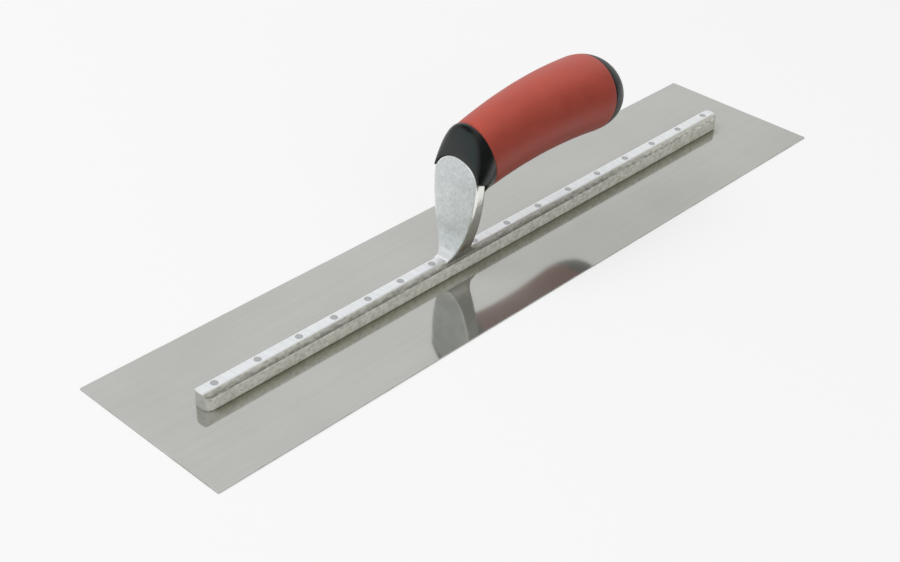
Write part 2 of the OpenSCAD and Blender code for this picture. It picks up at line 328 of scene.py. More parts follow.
# Plastics' finish
PLASTIC_GRAIN = 2600
PLASTIC_MARKS = 110
PLASTIC_RANGE = (0.35, 0.7)
PLASTIC_DEPTH = 0.02 * MM
COLLAR_COLOURS = ((0.004, 0.005, 0.005, 1), (0.008, 0.009, 0.009, 1))
COLLAR_ROUGHNESS = (0.22, 0.32)
CAP_COLOURS = ((0.015, 0.016, 0.016, 1), (0.024, 0.026, 0.026, 1))
CAP_ROUGHNESS = (0.34, 0.44)

# Grip's finish
GRIP_STIPPLE = 1700
GRIP_CLOUDS = 75
GRIP_COLOURS = ((0.372, 0.048, 0.027, 1), (0.454, 0.067, 0.040, 1))
GRIP_ROUGHNESS = (0.42, 0.54)
GRIP_DEPTH = 0.06 * MM

# Bolt's and washer's finish
ZINC_MOTTLE = 500
ZINC_COLOURS = (grey(0.55, -0.02), grey(0.68, -0.03))
ZINC_ROUGHNESS = (0.28, 0.4)
ZINC_DEPTH = 0.02 * MM

# Stage: the white backdrop, the room that metal mirrors, the light on matte surfaces and the floor
BACKGROUND = 0.93
ROOM = 0.55
AMBIENT_LOW = 0.36
AMBIENT_HIGH = 0.6
FLOOR_REACH = 6.0
FLOOR_DROP = 0.05 * MM
FLOOR_COLOUR = 0.25
FLOOR_GLOW = 0.655

# Lighter and darker parts of that room: direction, cosines where each fades in and is full, colour
ROOM_PARTS = (
    ((0.50, 0.60, 0.62), 0.70, 0.97, (0.95, 0.96, 1.0)),
    ((0.68, 0.18, 0.71), 0.915, 0.96, (0.80, 0.80, 0.79)),
    ((-0.89, 0.33, 0.31), 0.72, 0.90, (0.82, 0.98, 1.0)),
    ((-0.09, -0.99, 0.14), 0.62, 0.82, (0.08, 0.08, 0.08)),
    ((0.70, -0.68, 0.20), 0.71, 0.91, (0.10, 0.10, 0.10)),
    ((-0.40, 0.42, 0.81), 0.80, 0.90, (0.10, 0.10, 0.10)),
)

# The white sheet under the trowel, as it shows in reflections: its middle, and the radii where it fades out
SHEET_MIDDLE = (0.0, 0.5, 0.0)
SHEET_FADE = (0.62, 0.72)

# Lamps: name, place, size and power
LAMPS = (
    ("key", (-1.25, 1.1, 2.5), 1.8, 61),
    ("front", (-0.9, -2.5, 1.5), 1.7, 17),
)

# Camera, solved from the blade's corners and the bar in the photograph
IMAGE_W = 900
IMAGE_H = 562
SENSOR_W = 36.0
FOCAL_PX = 1505.6
CENTRE_PX = (503.6, 283.5)
CAMERA_AZIMUTH = math.radians(-49.11)
CAMERA_ELEVATION = math.radians(34.2)
CAMERA_ROLL = math.radians(2.70)
CAMERA_DISTANCE = 785.27 * MM
CAMERA_TARGET = Vector((-22.53 * MM, -27.99 * MM, 0))
CAMERA_NEAR = 0.01


# Mesh helpers

def new_object(name, points, faces):
    """A mesh object with its faces turned outward."""
    mesh = bpy.data.meshes.new(name)
    mesh.from_pydata([tuple(p) for p in points], [], faces)
    shape = bmesh.new()
    shape.from_mesh(mesh)
    bmesh.ops.recalc_face_normals(shape, faces=shape.faces)
    shape.to_mesh(mesh)
    shape.free()
    piece = bpy.data.objects.new(name, mesh)
    bpy.context.scene.collection.objects.link(piece)
    return piece


def loft_faces(count, sides, start, ring_shaped=False):
    """Quads between rings of points. A ring-shaped loft joins its last ring to its first."""
    faces = []
    for i in range(count if ring_shaped else count - 1):
        for k in range(sides):
            low = start + i * sides
            high = start + (i + 1) % count * sides
            faces.append((low + k, low + (k + 1) % sides, high + (k + 1) % sides, high + k))
    if not ring_shaped:
        faces.append(tuple(range(start + sides - 1, start - 1, -1)))
        faces.append(tuple(range(start + (count - 1) * sides, start + count * sides)))
    return faces


def loft(name, rings, ring_shaped=False):
    points = [p for ring in rings for p in ring]
    return new_object(name, points, loft_faces(len(rings), len(rings[0]), 0, ring_shaped))


def quarter_turns(steps):
    """Angles from 0 to a right angle."""
    return [math.pi / 2 * k / steps for k in range(steps + 1)]


def circle(x, z, radius, steps):
    turns = [math.tau * k / steps for k in range(steps)]
    return [(x + radius * math.cos(t), radius * math.sin(t), z) for t in turns]


def turned(name, profile, places, steps):
    """One mesh of equal turned shapes, each given by (radius, height) pairs, at the places along X."""
    points = []
    faces = []
    for x in places:
        faces += loft_faces(len(profile), steps, len(points))
        points += [p for r, z in profile for p in circle(x, z, r, steps)]
    return new_object(name, points, faces)


def rod(name, start, end, radius):
    """A round bar between two points."""
    span = Vector(end) - Vector(start)
    turn = span.to_track_quat("Z", "Y")
    rings = []
    for reach in (0, span.length):
        flat = circle(0, reach, radius, ROD_STEPS)
        rings.append([Vector(start) + turn @ Vector(p) for p in flat])
    return loft(name, rings)


def settle(piece):
    """Puts the modifiers' result in the piece's own mesh."""
    bpy.context.view_layer.update()
    made = piece.evaluated_get(bpy.context.evaluated_depsgraph_get())
    mesh = bpy.data.meshes.new_from_object(made)
    piece.modifiers.clear()
    piece.data = mesh


def combine(piece, other, operation):
    """Adds the other shape to the piece or takes it away, and uses it up."""
    step = piece.modifiers.new("combine", "BOOLEAN")
    step.operation = operation
    step.solver = "MANIFOLD"
    step.object = other
    settle(piece)
    bpy.data.objects.remove(other)


def cut(piece, *cutters):
    for cutter in cutters:
        combine(piece, cutter, "DIFFERENCE")


def join(piece, other):
    """Adds the other object's faces to the piece as they are, and uses it up."""
    shape = bmesh.new()
    shape.from_mesh(piece.data)
    shape.from_mesh(other.data)
    shape.to_mesh(piece.data)
    shape.free()
    bpy.data.objects.remove(other)


def remesh(piece, voxel):
    step = piece.modifiers.new("remesh", "REMESH")
    step.mode = "VOXEL"
    step.voxel_size = voxel
    settle(piece)


def thin_out(piece, share):
    step = piece.modifiers.new("thin", "DECIMATE")
    step.ratio = share
    settle(piece)


def read_points(mesh):
    flat = np.empty(len(mesh.vertices) * 3)
    mesh.vertices.foreach_get("co", flat)
    return flat.reshape(-1, 3)


def relax(piece, rounds, weight=None, keep_size=True):
    """Evens the surface out. With keep_size each pull inward is followed by a push outward."""
    mesh = piece.data
    points = read_points(mesh)
    ends = np.empty(len(mesh.edges) * 2, dtype=np.int32)
    mesh.edges.foreach_get("vertices", ends)
    one, other = ends.reshape(-1, 2).T
    count = len(points)
    degree = np.bincount(one, minlength=count) + np.bincount(other, minlength=count)
    share = np.ones(count) if weight is None else weight(points)
    for _ in range(rounds):
        for pull in (PULL_IN, PUSH_OUT) if keep_size else (PULL_IN,):
            sums = np.zeros((count, 3))
            for axis in range(3):
                sums[:, axis] += np.bincount(one, points[other, axis], count)
                sums[:, axis] += np.bincount(other, points[one, axis], count)
            points += (sums / degree[:, None] - points) * (pull * share)[:, None]
    mesh.vertices.foreach_set("co", points.ravel())
    mesh.update()


def shade(piece, crease_degrees):
    """Shades the piece smooth, with an edge where faces meet at more than the given angle."""
    piece.data.shade_smooth()
    piece.data.set_sharp_from_angle(angle=math.radians(crease_degrees))


def finish_piece(piece, node, material):
    """Hangs a piece on the body, in place of its CAD node."""
    piece.data.materials.clear()
    piece.data.materials.append(material)
    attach(piece, "root")
    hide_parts(node)


# Blade, bar and rivets

def rivet_places():
    """The rivets' places along X, read from the frame."""
    xs = np.sort(read_points(frame["nodes"]["rivets"].data)[:, 0])
    groups = np.split(xs, np.flatnonzero(np.diff(xs) > 2 * RIVET_FOOT_R) + 1)
    return [(group[0] + group[-1]) / 2 for group in groups]


def rivet_profile(gap, low, high):
    """A rivet's outline from foot to head, or with a gap that of its hole."""
    return [
        (RIVET_FOOT_R + gap, low),
        (RIVET_R + gap, RIVET_FOOT_H),
        (RIVET_R + gap, BAR_TOP - RIVET_HEAD_H),
        (RIVET_HEAD_R + gap, high),
    ]


def rivet_holes(name):
    """What is cut out for the rivets, a little past the blade's underside and the bar's top."""
    profile = rivet_profile(RIVET_GAP, -HOLE_REACH, BAR_TOP + HOLE_REACH)
    return turned(name, profile, rivet_places(), RIVET_STEPS)


def rounded_rectangle(length, width, radius, z):
    points = []
    for corner, (side_x, side_y) in enumerate(((1, 1), (-1, 1), (-1, -1), (1, -1))):
        for k in range(CORNER_STEPS + 1):
            turn = math.pi / 2 * (corner + k / CORNER_STEPS)
            x = side_x * (length / 2 - radius) + radius * math.cos(turn)
            y = side_y * (width / 2 - radius) + radius * math.sin(turn)
            points.append((x, y, z))
    return points


def blade_sheet(material):
    """The blade with its edges eased by a hair and its countersunk rivet holes."""
    r = BLADE_EDGE_R
    turns = quarter_turns(EDGE_STEPS)
    path = [(r - r * math.sin(t), r - r * math.cos(t)) for t in turns]
    path += [(r - r * math.cos(t), BLADE_T - r + r * math.sin(t)) for t in turns]
    rings = []
    for inset, z in path:
        length = BLADE_L - 2 * inset
        width = BLADE_W - 2 * inset
        rings.append(rounded_rectangle(length, width, BLADE_CORNER_R - inset, z))
    sheet = loft("blade_sheet", rings)
    cut(sheet, rivet_holes("blade_holes"))
    finish_piece(sheet, "blade", material)


def near_shank_foot(points):
    """1 where the shank runs into the bar, fading to 0 within a few millimetres."""
    off = np.linalg.norm((points - FOOT_MIDDLE) / FOOT_REACH, axis=1)
    return np.clip(FOOT_STEEPNESS - FOOT_STEEPNESS * off, 0, 1)


def near_heel_end(points):
    """1 at the top of the bar's worn heel end, fading to 0 within a few millimetres."""
    by_length = np.clip(HEEL_WEAR_AT_END - (BAR_L / 2 - points[:, 0]) / HEEL_WEAR_L, 0, 1)
    by_height = np.clip((points[:, 2] - BLADE_T) / HEEL_WEAR_H, 0, 1)
    return by_length * by_height


def casting(material):
    """Bar, shank, head and tang in one casting, with soft cast edges and crisp rivet holes."""
    body = bpy.data.objects.new("mounting_casting", frame["nodes"]["mounting"].data.copy())
    bpy.context.scene.collection.objects.link(body)
    fill = [(FILL_R, FILL_LOW), (FILL_R, BAR_TOP)]
    join(body, turned("plugs", fill, rivet_places(), RIVET_STEPS))
    remesh(body, CAST_VOXEL)
    relax(body, CAST_ROUNDS)
    relax(body, FOOT_ROUNDS, near_shank_foot, keep_size=False)
    relax(body, HEEL_ROUNDS, near_heel_end, keep_size=False)
    thin_out(body, CAST_KEPT)
    cut(body, rivet_holes("casting_holes"))
    shade(body, CAST_CREASE)
    finish_piece(body, "mounting", material)


def rivet_set(material):
    """The rivets, ground flush, each with a fine chamfer round its upper end."""
    profile = rivet_profile(0, 0, BAR_TOP - RIVET_RIM)
    profile.append((RIVET_HEAD_R - RIVET_RIM, BAR_TOP - RIVET_DOME))
    profile.append((RIVET_FLAT_R, BAR_TOP))
    rivets = turned("rivet_set", profile, rivet_places(), RIVET_STEPS)
    shade(rivets, RIVET_CREASE)
    finish_piece(rivets, "rivets", material)


# Handle, by the distance along its arched axis from the sleeve's front end

def bend(along):
    """Tilt of the handle's axis."""
    return along / GRIP_ARC_R - GRIP_PITCH


def tail(along):
    """Share of the way from the grip's widest place to the cap's tip."""
    return max(0, (along - WIDEST) / ROUND_L)


def axis_point(along):
    x = RING_X + GRIP_ARC_R * (math.sin(bend(along)) + math.sin(GRIP_PITCH))
    z = RING_Z + GRIP_ARC_R * (math.cos(bend(along)) - math.cos(GRIP_PITCH))
    return x, z - CAP_DROP * tail(along) ** 2


def rounding(along):
    """Share of the full section that is left where the grip and cap round in."""
    return (1 - tail(along) ** CAP_POWER) ** (1 / CAP_POWER)


def half_width(along):
    return lerp(GRIP_FRONT_W, GRIP_REAR_W, min(1, along / WIDEST)) / 2 * rounding(along)


def half_height(along):
    return lerp(GRIP_FRONT_H, GRIP_H, min(1, along / WIDEST)) / 2 * rounding(along)


def oval(x, z, tilt, half_w, up, down):
    """A tilted oval across the handle, with its own reach above and below its middle."""
    points = []
    for k in range(GRIP_SIDES):
        turn = math.tau * k / GRIP_SIDES
        reach = (up if math.sin(turn) > 0 else down) * math.sin(turn)
        y = half_w * math.cos(turn)
        points.append((x + math.sin(tilt) * reach, y, z + math.cos(tilt) * reach))
    return points


def grip_ring(along, inset):
    half_h = half_height(along) - inset
    return oval(*axis_point(along), bend(along), half_width(along) - inset, half_h, half_h)


def nose_ring(share):
    """The collar's outline, from the shank's head at 0 to the sleeve at 1."""
    full = (1 - (1 - share) ** COLLAR_POWER) ** (1 / COLLAR_POWER)
    hump = 4 * share * (1 - share)
    return oval(
        lerp(HEAD_X + HEAD_GAP, RING_X, share),
        lerp(HEAD_Z, RING_Z, share),
        lerp(SHANK_LEAN, -GRIP_PITCH, share),
        lerp(COLLAR_W, GRIP_FRONT_W, share) / 2 + COLLAR_SWELL * hump,
        lerp(COLLAR_TOP, GRIP_FRONT_H / 2, full) + COLLAR_CROWN * hump,
        lerp(COLLAR_TOP, GRIP_FRONT_H / 2, share ** COLLAR_TUCK),
    )


def bolt_line(reach):
    """A point on the line from the shank's rear to the middle of the grip's rear end."""
    start = Vector((SHANK_REAR, 0, HEAD_Z + TANG_RISE))
    x, z = axis_point(GRIP_L)
    direction = (Vector((x, 0, z)) - start).normalized()
    return start + direction * reach


def bolt_line_length():
    x, z = axis_point(GRIP_L)
    return (Vector((x, 0, z)) - bolt_line(0)).length


def hem_block():
    """What is cut off below the collar's hem, ahead of the shank's rear."""
    drop = math.tan(COLLAR_HEM_SLOPE)
    half = CUTTER_HALF_W
    rings = []
    for x in (HEAD_X - HEM_AHEAD, SHANK_REAR + HEAD_GAP):
        hem = HEAD_Z + COLLAR_HEM - (x - HEAD_X) * drop
        rings.append([(x, -half, CUTTER_LOW), (x, half, CUTTER_LOW), (x, half, hem), (x, -half, hem)])
    return loft("hem_block", rings)


def head_space():
    """Room in the collar for the shank's head."""
    half = HEAD_W / 2 + HEAD_GAP
    rise = HEAD_RISE + HEAD_GAP
    outline = [(-half, CUTTER_LOW), (half, CUTTER_LOW)]
    for k in range(HEAD_STEPS + 1):
        turn = math.pi * k / HEAD_STEPS
        outline.append((half * math.cos(turn), HEAD_Z + rise * math.sin(turn)))
    rings = [[(x, y, z) for y, z in outline] for x in (HEAD_X - HEAD_AHEAD, SHANK_REAR + HEAD_GAP)]
    return loft("head_space", rings)


def core_cutters():
    """The core's bore for the tang, its narrow bore for the bolt and its recess for the bolt's head."""
    seat = TANG_L + BOLT_GRIP
    end = bolt_line_length() + RECESS_PAST
    bore = rod("bore", bolt_line(-BORE_AHEAD), bolt_line(TANG_L + BORE_GAP), TANG_R + BORE_GAP)
    narrow = rod("narrow", bolt_line(TANG_L), bolt_line(seat), BOLT_R + BORE_GAP)
    recess = rod("recess", bolt_line(seat - BORE_GAP), bolt_line(end), RECESS_R)
    return bore, narrow, recess


def collar(material):
    """The black collar, in one moulding with the core inside the sleeve."""
    core_inset = SLEEVE_T + SLEEVE_GAP
    rings = [nose_ring(1 - math.cos(turn)) for turn in quarter_turns(NOSE_STEPS)]
    rings += [grip_ring(GRIP_L * k / CORE_STEPS, core_inset) for k in range(CORE_STEPS + 1)]
    body = loft("handle_collar", rings)
    cut(body, hem_block())
    remesh(body, COLLAR_VOXEL)
    relax(body, COLLAR_ROUNDS)
    thin_out(body, COLLAR_KEPT)
    cut(body, head_space(), *core_cutters())
    shade(body, COLLAR_CREASE)
    finish_piece(body, "handle_core", material)


def sleeve(material):
    """The soft red sleeve, with rounded ends that leave a fine groove at each shut line."""
    r = SHUT_LINE_R
    outer = SLEEVE_OUTER_STEPS
    inner = SLEEVE_INNER_STEPS
    turns = quarter_turns(SHUT_LINE_STEPS)
    path = [(0, SLEEVE_T)]
    path += [(r - r * math.cos(t), r - r * math.sin(t)) for t in turns]
    path += [(lerp(r, GRIP_L - r, k / outer), 0) for k in range(1, outer)]
    path += [(GRIP_L - r + r * math.sin(t), r - r * math.cos(t)) for t in turns]
    path.append((GRIP_L, SLEEVE_T))
    path += [(GRIP_L * (1 - k / inner), SLEEVE_T) for k in range(1, inner)]
    piece = loft("grip_shell", [grip_ring(along, inset) for along, inset in path], ring_shaped=True)
    shade(piece, HANDLE_CREASE)
    finish_piece(piece, "grip_sleeve", material)


def end_cap(material):
    """The domed cap with an eased front edge, and the plug that holds it in the core."""
    r = SHUT_LINE_R
    turns = quarter_turns(SHUT_LINE_STEPS)
    rings = [grip_ring(GRIP_L + r - r * math.cos(t), r - r * math.sin(t)) for t in turns]
    first = math.asin((GRIP_ROUND + r) / ROUND_L)
    for k in range(1, CAP_STEPS + 1):
        turn = lerp(first, CAP_LAST_TURN, k / CAP_STEPS)
        rings.append(grip_ring(WIDEST + ROUND_L * math.sin(turn), 0))
    dome = loft("handle_end_cap", rings)
    end = bolt_line_length()
    plug = rod("plug", bolt_line(end - PLUG_L), bolt_line(end + PLUG_IN_CAP), RECESS_R - BORE_GAP)
    combine(dome, plug, "UNION")
    shade(dome, HANDLE_CREASE)
    finish_piece(dome, "end_cap", material)


# Node helpers

def add_node(tree, kind, inputs=None, **settings):
    """A node with its settings, and inputs that are constants or another node's output."""
    node = tree.nodes.new(kind)
    for key, value in settings.items():
        setattr(node, key, value)
    for key, value in (inputs or {}).items():
        if isinstance(value, bpy.types.NodeSocket):
            tree.links.new(value, node.inputs[key])
        else:
            node.inputs[key].default_value = value
    return node


def new_material(name, **sockets):
    """A material with one Principled shader, whose constant sockets are set directly."""
    material = bpy.data.materials.new(name)
    material.use_nodes = True
    tree = material.node_tree
    shader = tree.nodes["Principled BSDF"]
    for key, value in sockets.items():
        shader.inputs[key.replace("_", " ")].default_value = value
    return material, tree, shader


def connect(tree, shader, **outputs):
    """Feeds the shader's sockets from other nodes' outputs."""
    for key, output in outputs.items():
        tree.links.new(output, shader.inputs[key.replace("_", " ")])


def place(tree):
    """A point's place in the object's frame, in metres."""
    return add_node(tree, "ShaderNodeTexCoord").outputs["Object"]


def split(tree, vector):
    return add_node(tree, "ShaderNodeSeparateXYZ", {0: vector}).outputs


def facing(tree):
    """The surface's own normal, split into its parts."""
    return split(tree, add_node(tree, "ShaderNodeNewGeometry").outputs["Normal"])


def math_node(tree, operation, a, b=0.0):
    return add_node(tree, "ShaderNodeMath", {0: a, 1: b}, operation=operation).outputs[0]


def folded(tree, operation, values):
    """All values joined by one operation."""
    first, *others = values
    for other in others:
        first = math_node(tree, operation, first, other)
    return first


def total(tree, *values):
    return folded(tree, "ADD", values)


def product(tree, *values):
    return folded(tree, "MULTIPLY", values)


def largest(tree, *values):
    return folded(tree, "MAXIMUM", values)


def difference(tree, a, b):
    return math_node(tree, "SUBTRACT", a, b)


def inverse(tree, share):
    return difference(tree, 1.0, share)


def absolute(tree, value):
    return math_node(tree, "ABSOLUTE", value)


def remap(tree, value, limits, levels):
    """The first level up to the first limit, changing evenly to the second level at the second limit."""
    inputs = {0: value, 1: limits[0], 2: limits[1], 3: levels[0], 4: levels[1]}
    return add_node(tree, "ShaderNodeMapRange", inputs).outputs[0]


def ramp(tree, value, limits, full=1):
    """0 up to the first limit, growing evenly to full at the second, which may be the lower one."""
    return remap(tree, value, limits, (0, full))


def noise(tree, vector, scale=1.0, detail=2.0):
    inputs = {"Vector": vector, "Scale": scale, "Detail": detail}
    return add_node(tree, "ShaderNodeTexNoise", inputs).outputs[0]


def streaks(tree, vector, scales, detail):
    """Noise with its own scale along each axis, so that it is drawn out along some of them."""
    inputs = {0: vector, 1: scales}
    stretched = add_node(tree, "ShaderNodeVectorMath", inputs, operation="MULTIPLY").outputs[0]
    return noise(tree, stretched, detail=detail)


def blend(tree, first, second, share):
    """Two patterns in one, of which the second has the given share."""
    return total(tree, product(tree, first, 1 - share), product(tree, second, share))


def mix_colour(tree, factor, a, b):
    inputs = {0: factor, 6: a, 7: b}
    return add_node(tree, "ShaderNodeMix", inputs, data_type="RGBA").outputs[2]


def two_tone(tree, pattern, colours, limits=NOISE_MIDDLE):
    """From the first colour to the second, by a pattern."""
    return mix_colour(tree, ramp(tree, pattern, limits), *colours)


def bump(tree, height, distance, strength=1.0):
    inputs = {"Height": height, "Distance": distance, "Strength": strength}
    return add_node(tree, "ShaderNodeBump", inputs).outputs[0]


# Materials

def blade_steel():
    """Rolled steel, brushed lengthwise, with faint smudges, a rubbed rim and painted shade beside the bar."""
    material, tree, shader = new_material("blade_steel", Metallic=0.76, Anisotropic=0.3)
    at = place(tree)
    fine = streaks(tree, at, BRUSH_FINE, detail=3)
    broad = streaks(tree, at, BRUSH_BROAD, detail=2)
    cloud = noise(tree, at, STEEL_CLOUDS, detail=4)
    streak = blend(tree, fine, broad, share=0.4)
    tone = blend(tree, streak, cloud, share=0.5)
    colour = two_tone(tree, tone, STEEL_COLOURS)
    colour = mix_colour(tree, rubbed_rim(tree, at), colour, RIM_COLOUR)
    # Painted shade on the blade beside the bar
    colour = mix_colour(tree, bar_painted_shade(tree, at), colour, BAR_SHADE_COLOUR)
    connect(
        tree, shader,
        Base_Color=colour,
        Roughness=remap(tree, tone, NOISE_RANGE, STEEL_ROUGHNESS),
        Normal=bump(tree, streak, BRUSH_DEPTH),
        Tangent=add_node(tree, "ShaderNodeCombineXYZ", {0: 0.0, 1: 1.0, 2: 0.0}).outputs[0],
    )
    return material


def rubbed_rim(tree, at):
    """Above 0 in patches along the blade's rim that are rubbed bright."""
    x, y, _ = split(tree, at)
    from_end = difference(tree, BLADE_L / 2, absolute(tree, x))
    from_side = difference(tree, BLADE_W / 2, absolute(tree, y))
    margin = math_node(tree, "MINIMUM", from_end, from_side)
    patches = ramp(tree, noise(tree, at, RIM_PATCHES, detail=3), RIM_RANGE)
    return product(tree, ramp(tree, margin, (RIM_W, 0), RIM_SHARE), patches)


def bar_painted_shade(tree, at):
    """Above 0 on the blade along the bar, where shade is painted. It stops short of the bar's ends, sooner on
    the far side.
    """
    x, y, _ = split(tree, at)
    beside_bar = difference(tree, absolute(tree, y), BAR_W / 2)
    past_bar = difference(tree, absolute(tree, x), BAR_L / 2)
    past_shade = total(tree, past_bar, ramp(tree, y, (-BAR_W / 2, BAR_W / 2), BAR_SHADE_FAR_SHIFT))
    return product(tree, ramp(tree, beside_bar, (BAR_SHADE_W, 0), BAR_SHADE_SHARE), ramp(tree, past_shade, BAR_SHADE_END))


def bar_zones(tree, at):
    """The bar's upright sides, end faces, sloped shoulders and ground top."""
    _, _, z = split(tree, at)
    along, _, up = facing(tree)
    below_top = ramp(tree, z, BELOW_TOP)
    upright = ramp(tree, up, UPRIGHT_UP)
    ground = product(tree, ramp(tree, z, GROUND_FROM), ramp(tree, z, GROUND_TO), ramp(tree, up, LEVEL_UP))
    shoulder = product(tree, below_top, inverse(tree, upright), inverse(tree, ground))
    end = product(tree, below_top, upright, ramp(tree, absolute(tree, along), END_ALONG))
    side = product(tree, ramp(tree, z, SIDE_TO), inverse(tree, shoulder), inverse(tree, end))
    return {"side": side, "end": end, "shoulder": shoulder, "ground": ground}


def shank_zones(tree, at):
    """The shank's raw front, that front's foot, the fillet below it and the lower part of the flanks."""
    _, _, z = split(tree, at)
    along, across, up = facing(tree)
    above_fillet = ramp(tree, z, ABOVE_FILLET)
    in_fillet = product(tree, inverse(tree, above_fillet), ramp(tree, z, FILLET_FROM))
    in_foot = product(tree, ramp(tree, z, FOOT_TO), above_fillet)
    in_flank = product(tree, ramp(tree, z, FLANK_TO), ramp(tree, z, ABOVE_SIDE))
    return {
        "front": product(tree, ramp(tree, along, FRONT_ALONG), above_fillet),
        "foot": product(tree, in_foot, ramp(tree, up, FOOT_UP), ramp(tree, along, FOOT_ALONG)),
        "fillet": product(tree, in_fillet, ramp(tree, along, FILLET_ALONG)),
        "flank": product(tree, in_flank, ramp(tree, absolute(tree, across), FLANK_ACROSS)),
    }


def foot_corner(tree, at):
    """1 in the corners behind the shank's foot along the bar's edges, where shade is painted."""
    x, y, z = split(tree, at)
    in_length = product(tree, ramp(tree, x, CORNER_TO_X), ramp(tree, x, CORNER_FROM_X))
    in_height = product(tree, ramp(tree, z, ABOVE_SIDE), ramp(tree, z, CORNER_TO))
    return product(tree, in_length, ramp(tree, absolute(tree, y), CORNER_FROM_Y), in_height)


def cast_zones(tree, at):
    """The casting's zones by name, each a share from 0 to 1."""
    zones = bar_zones(tree, at) | shank_zones(tree, at)
    zones["corner"] = foot_corner(tree, at)
    zones["bar"] = total(tree, zones["side"], zones["shoulder"])
    zones["raw"] = largest(tree, zones["front"], zones["foot"], zones["end"], zones["bar"])
    spots = ramp(tree, noise(tree, at, CAST_BLOTS, detail=1), PIT_RANGE)
    zones["pits"] = product(tree, spots, zones["raw"])
    return zones


def cast_colour(tree, at, zones, mottle):
    """Polished metal, with the colours of the other zones laid over it in turn."""
    layers = (
        ("raw", 1, skin_colour(tree, at)),
        ("side", 1, side_colour(tree, at)),
        ("end", END_SHARE, END_COLOUR),
        ("shoulder", 1, shoulder_colour(tree, at)),
        # Painted shade on the foot of the shank's front
        ("foot", FOOT_SHARE, FOOT_COLOUR),
        ("fillet", 1, FILLET_COLOUR),
        # Painted shade on the lower flanks
        ("flank", FLANK_SHARE, CAST_SHADE_COLOUR),
        ("pits", PIT_SHARE, PIT_COLOUR),
        ("ground", 1, ground_colour(tree, at)),
        # Painted shade in the corners behind the shank's foot
        ("corner", CORNER_SHARE, CAST_SHADE_COLOUR),
    )
    colour = two_tone(tree, mottle, POLISH_COLOURS)
    for name, share, layer in layers:
        colour = mix_colour(tree, product(tree, zones[name], share), colour, layer)
    return colour


def cast_aluminium():
    """Casting with a raw grainy skin on its front and on the bar, polished edges and a ground top."""
    material, tree, shader = new_material("cast_aluminium")
    at = place(tree)
    zones = cast_zones(tree, at)
    raw = zones["raw"]
    mottle = noise(tree, at, CAST_CLOUDS, detail=4)
    grain = noise(tree, at, CAST_GRAIN, detail=3)
    raw_rough = product(tree, raw, RAW_ROUGHNESS)
    ground_rough = product(tree, zones["ground"], GROUND_ROUGHNESS)
    worked = largest(tree, raw_rough, ground_rough)
    metal = remap(tree, zones["bar"], (0, 1), CAST_METAL)
    for name, loss in METAL_LOSS.items():
        metal = difference(tree, metal, product(tree, zones[name], loss))
    relief = product(tree, difference(tree, grain, zones["pits"]), remap(tree, raw, (0, 1), CAST_RELIEF))
    connect(
        tree, shader,
        Base_Color=cast_colour(tree, at, zones, mottle),
        Roughness=total(tree, remap(tree, mottle, NOISE_RANGE, CAST_ROUGHNESS), worked),
        Metallic=metal,
        Normal=bump(tree, relief, CAST_DEPTH, strength=0.6),
    )
    return material


def skin_colour(tree, at):
    """Raw cast skin with a fine speckle over broad clouds, with painted light that makes it lightest below
    the shank's middle.
    """
    _, _, z = split(tree, at)
    clouds = noise(tree, at, CAST_CLOUDS, detail=4)
    speckle = noise(tree, at, SKIN_SPECKLE, detail=3)
    # Painted light and shade by height: lightest below the shank's middle, darker towards the head
    low = remap(tree, z, SKIN_LOW_Z, SKIN_LOW_LIFT)
    high = remap(tree, z, SKIN_HIGH_Z, SKIN_HIGH_LIFT)
    tone = total(tree, blend(tree, clouds, speckle, share=0.6), math_node(tree, "MINIMUM", low, high))
    return two_tone(tree, tone, SKIN_COLOURS, SKIN_RANGE)


def ground_colour(tree, at):
    """Bright metal with the fine cross marks of the grinder."""
    return two_tone(tree, streaks(tree, at, GRIND_MARKS, detail=2), GROUND_COLOURS)


def side_colour(tree, at):
    """Warm sandy cast skin in drawn-out specks, with painted shade where it meets the blade."""
    _, _, z = split(tree, at)
    specks = streaks(tree, at, SIDE_SPECKS, detail=3)
    blots = noise(tree, at, CAST_BLOTS, detail=3)
    skin = two_tone(tree, blend(tree, specks, blots, share=0.6), SIDE_COLOURS, SIDE_RANGE)
    # Painted shade at the foot of the bar's sides
    return mix_colour(tree, ramp(tree, z, SIDE_SHADE_TO, SIDE_SHADE_SHARE), skin, SIDE_SHADE_COLOUR)


def shoulder_colour(tree, at):
    """Smoother skin that darkens towards the parting line along its lower edge, a painted shade, rubbed
    bright at the heel.
    """
    x, _, z = split(tree, at)
    specks = streaks(tree, at, SHOULDER_SPECKS, detail=3)
    blots = noise(tree, at, CAST_BLOTS, detail=3)
    rub = remap(tree, specks, NOISE_MIDDLE, SHOULDER_RUB_LIFT)
    tone = total(
        tree,
        # Painted shade, darker towards the lower edge
        remap(tree, z, (SIDE_TOP, BAR_TOP), SHOULDER_FALL),
        remap(tree, specks, NOISE_RANGE, SHOULDER_SPECK_LIFT),
        remap(tree, blots, NOISE_MIDDLE, SHOULDER_BLOT_LIFT),
        product(tree, ramp(tree, x, HEEL_RUB_X), rub),
    )
    return mix_colour(tree, tone, *SHOULDER_COLOURS)


def rivet_steel():
    """Peened steel ends, ground with the bar."""
    material, tree, shader = new_material("rivet_steel", Metallic=0.85)
    at = place(tree)
    grind = streaks(tree, at, RIVET_MARKS, detail=2)
    blots = noise(tree, at, RIVET_BLOTS, detail=3)
    tone = blend(tree, grind, blots, share=0.5)
    connect(
        tree, shader,
        Base_Color=two_tone(tree, tone, RIVET_COLOURS),
        Roughness=remap(tree, tone, NOISE_RANGE, RIVET_ROUGHNESS),
        Normal=bump(tree, grind, RIVET_DEPTH, strength=0.25),
    )
    return material


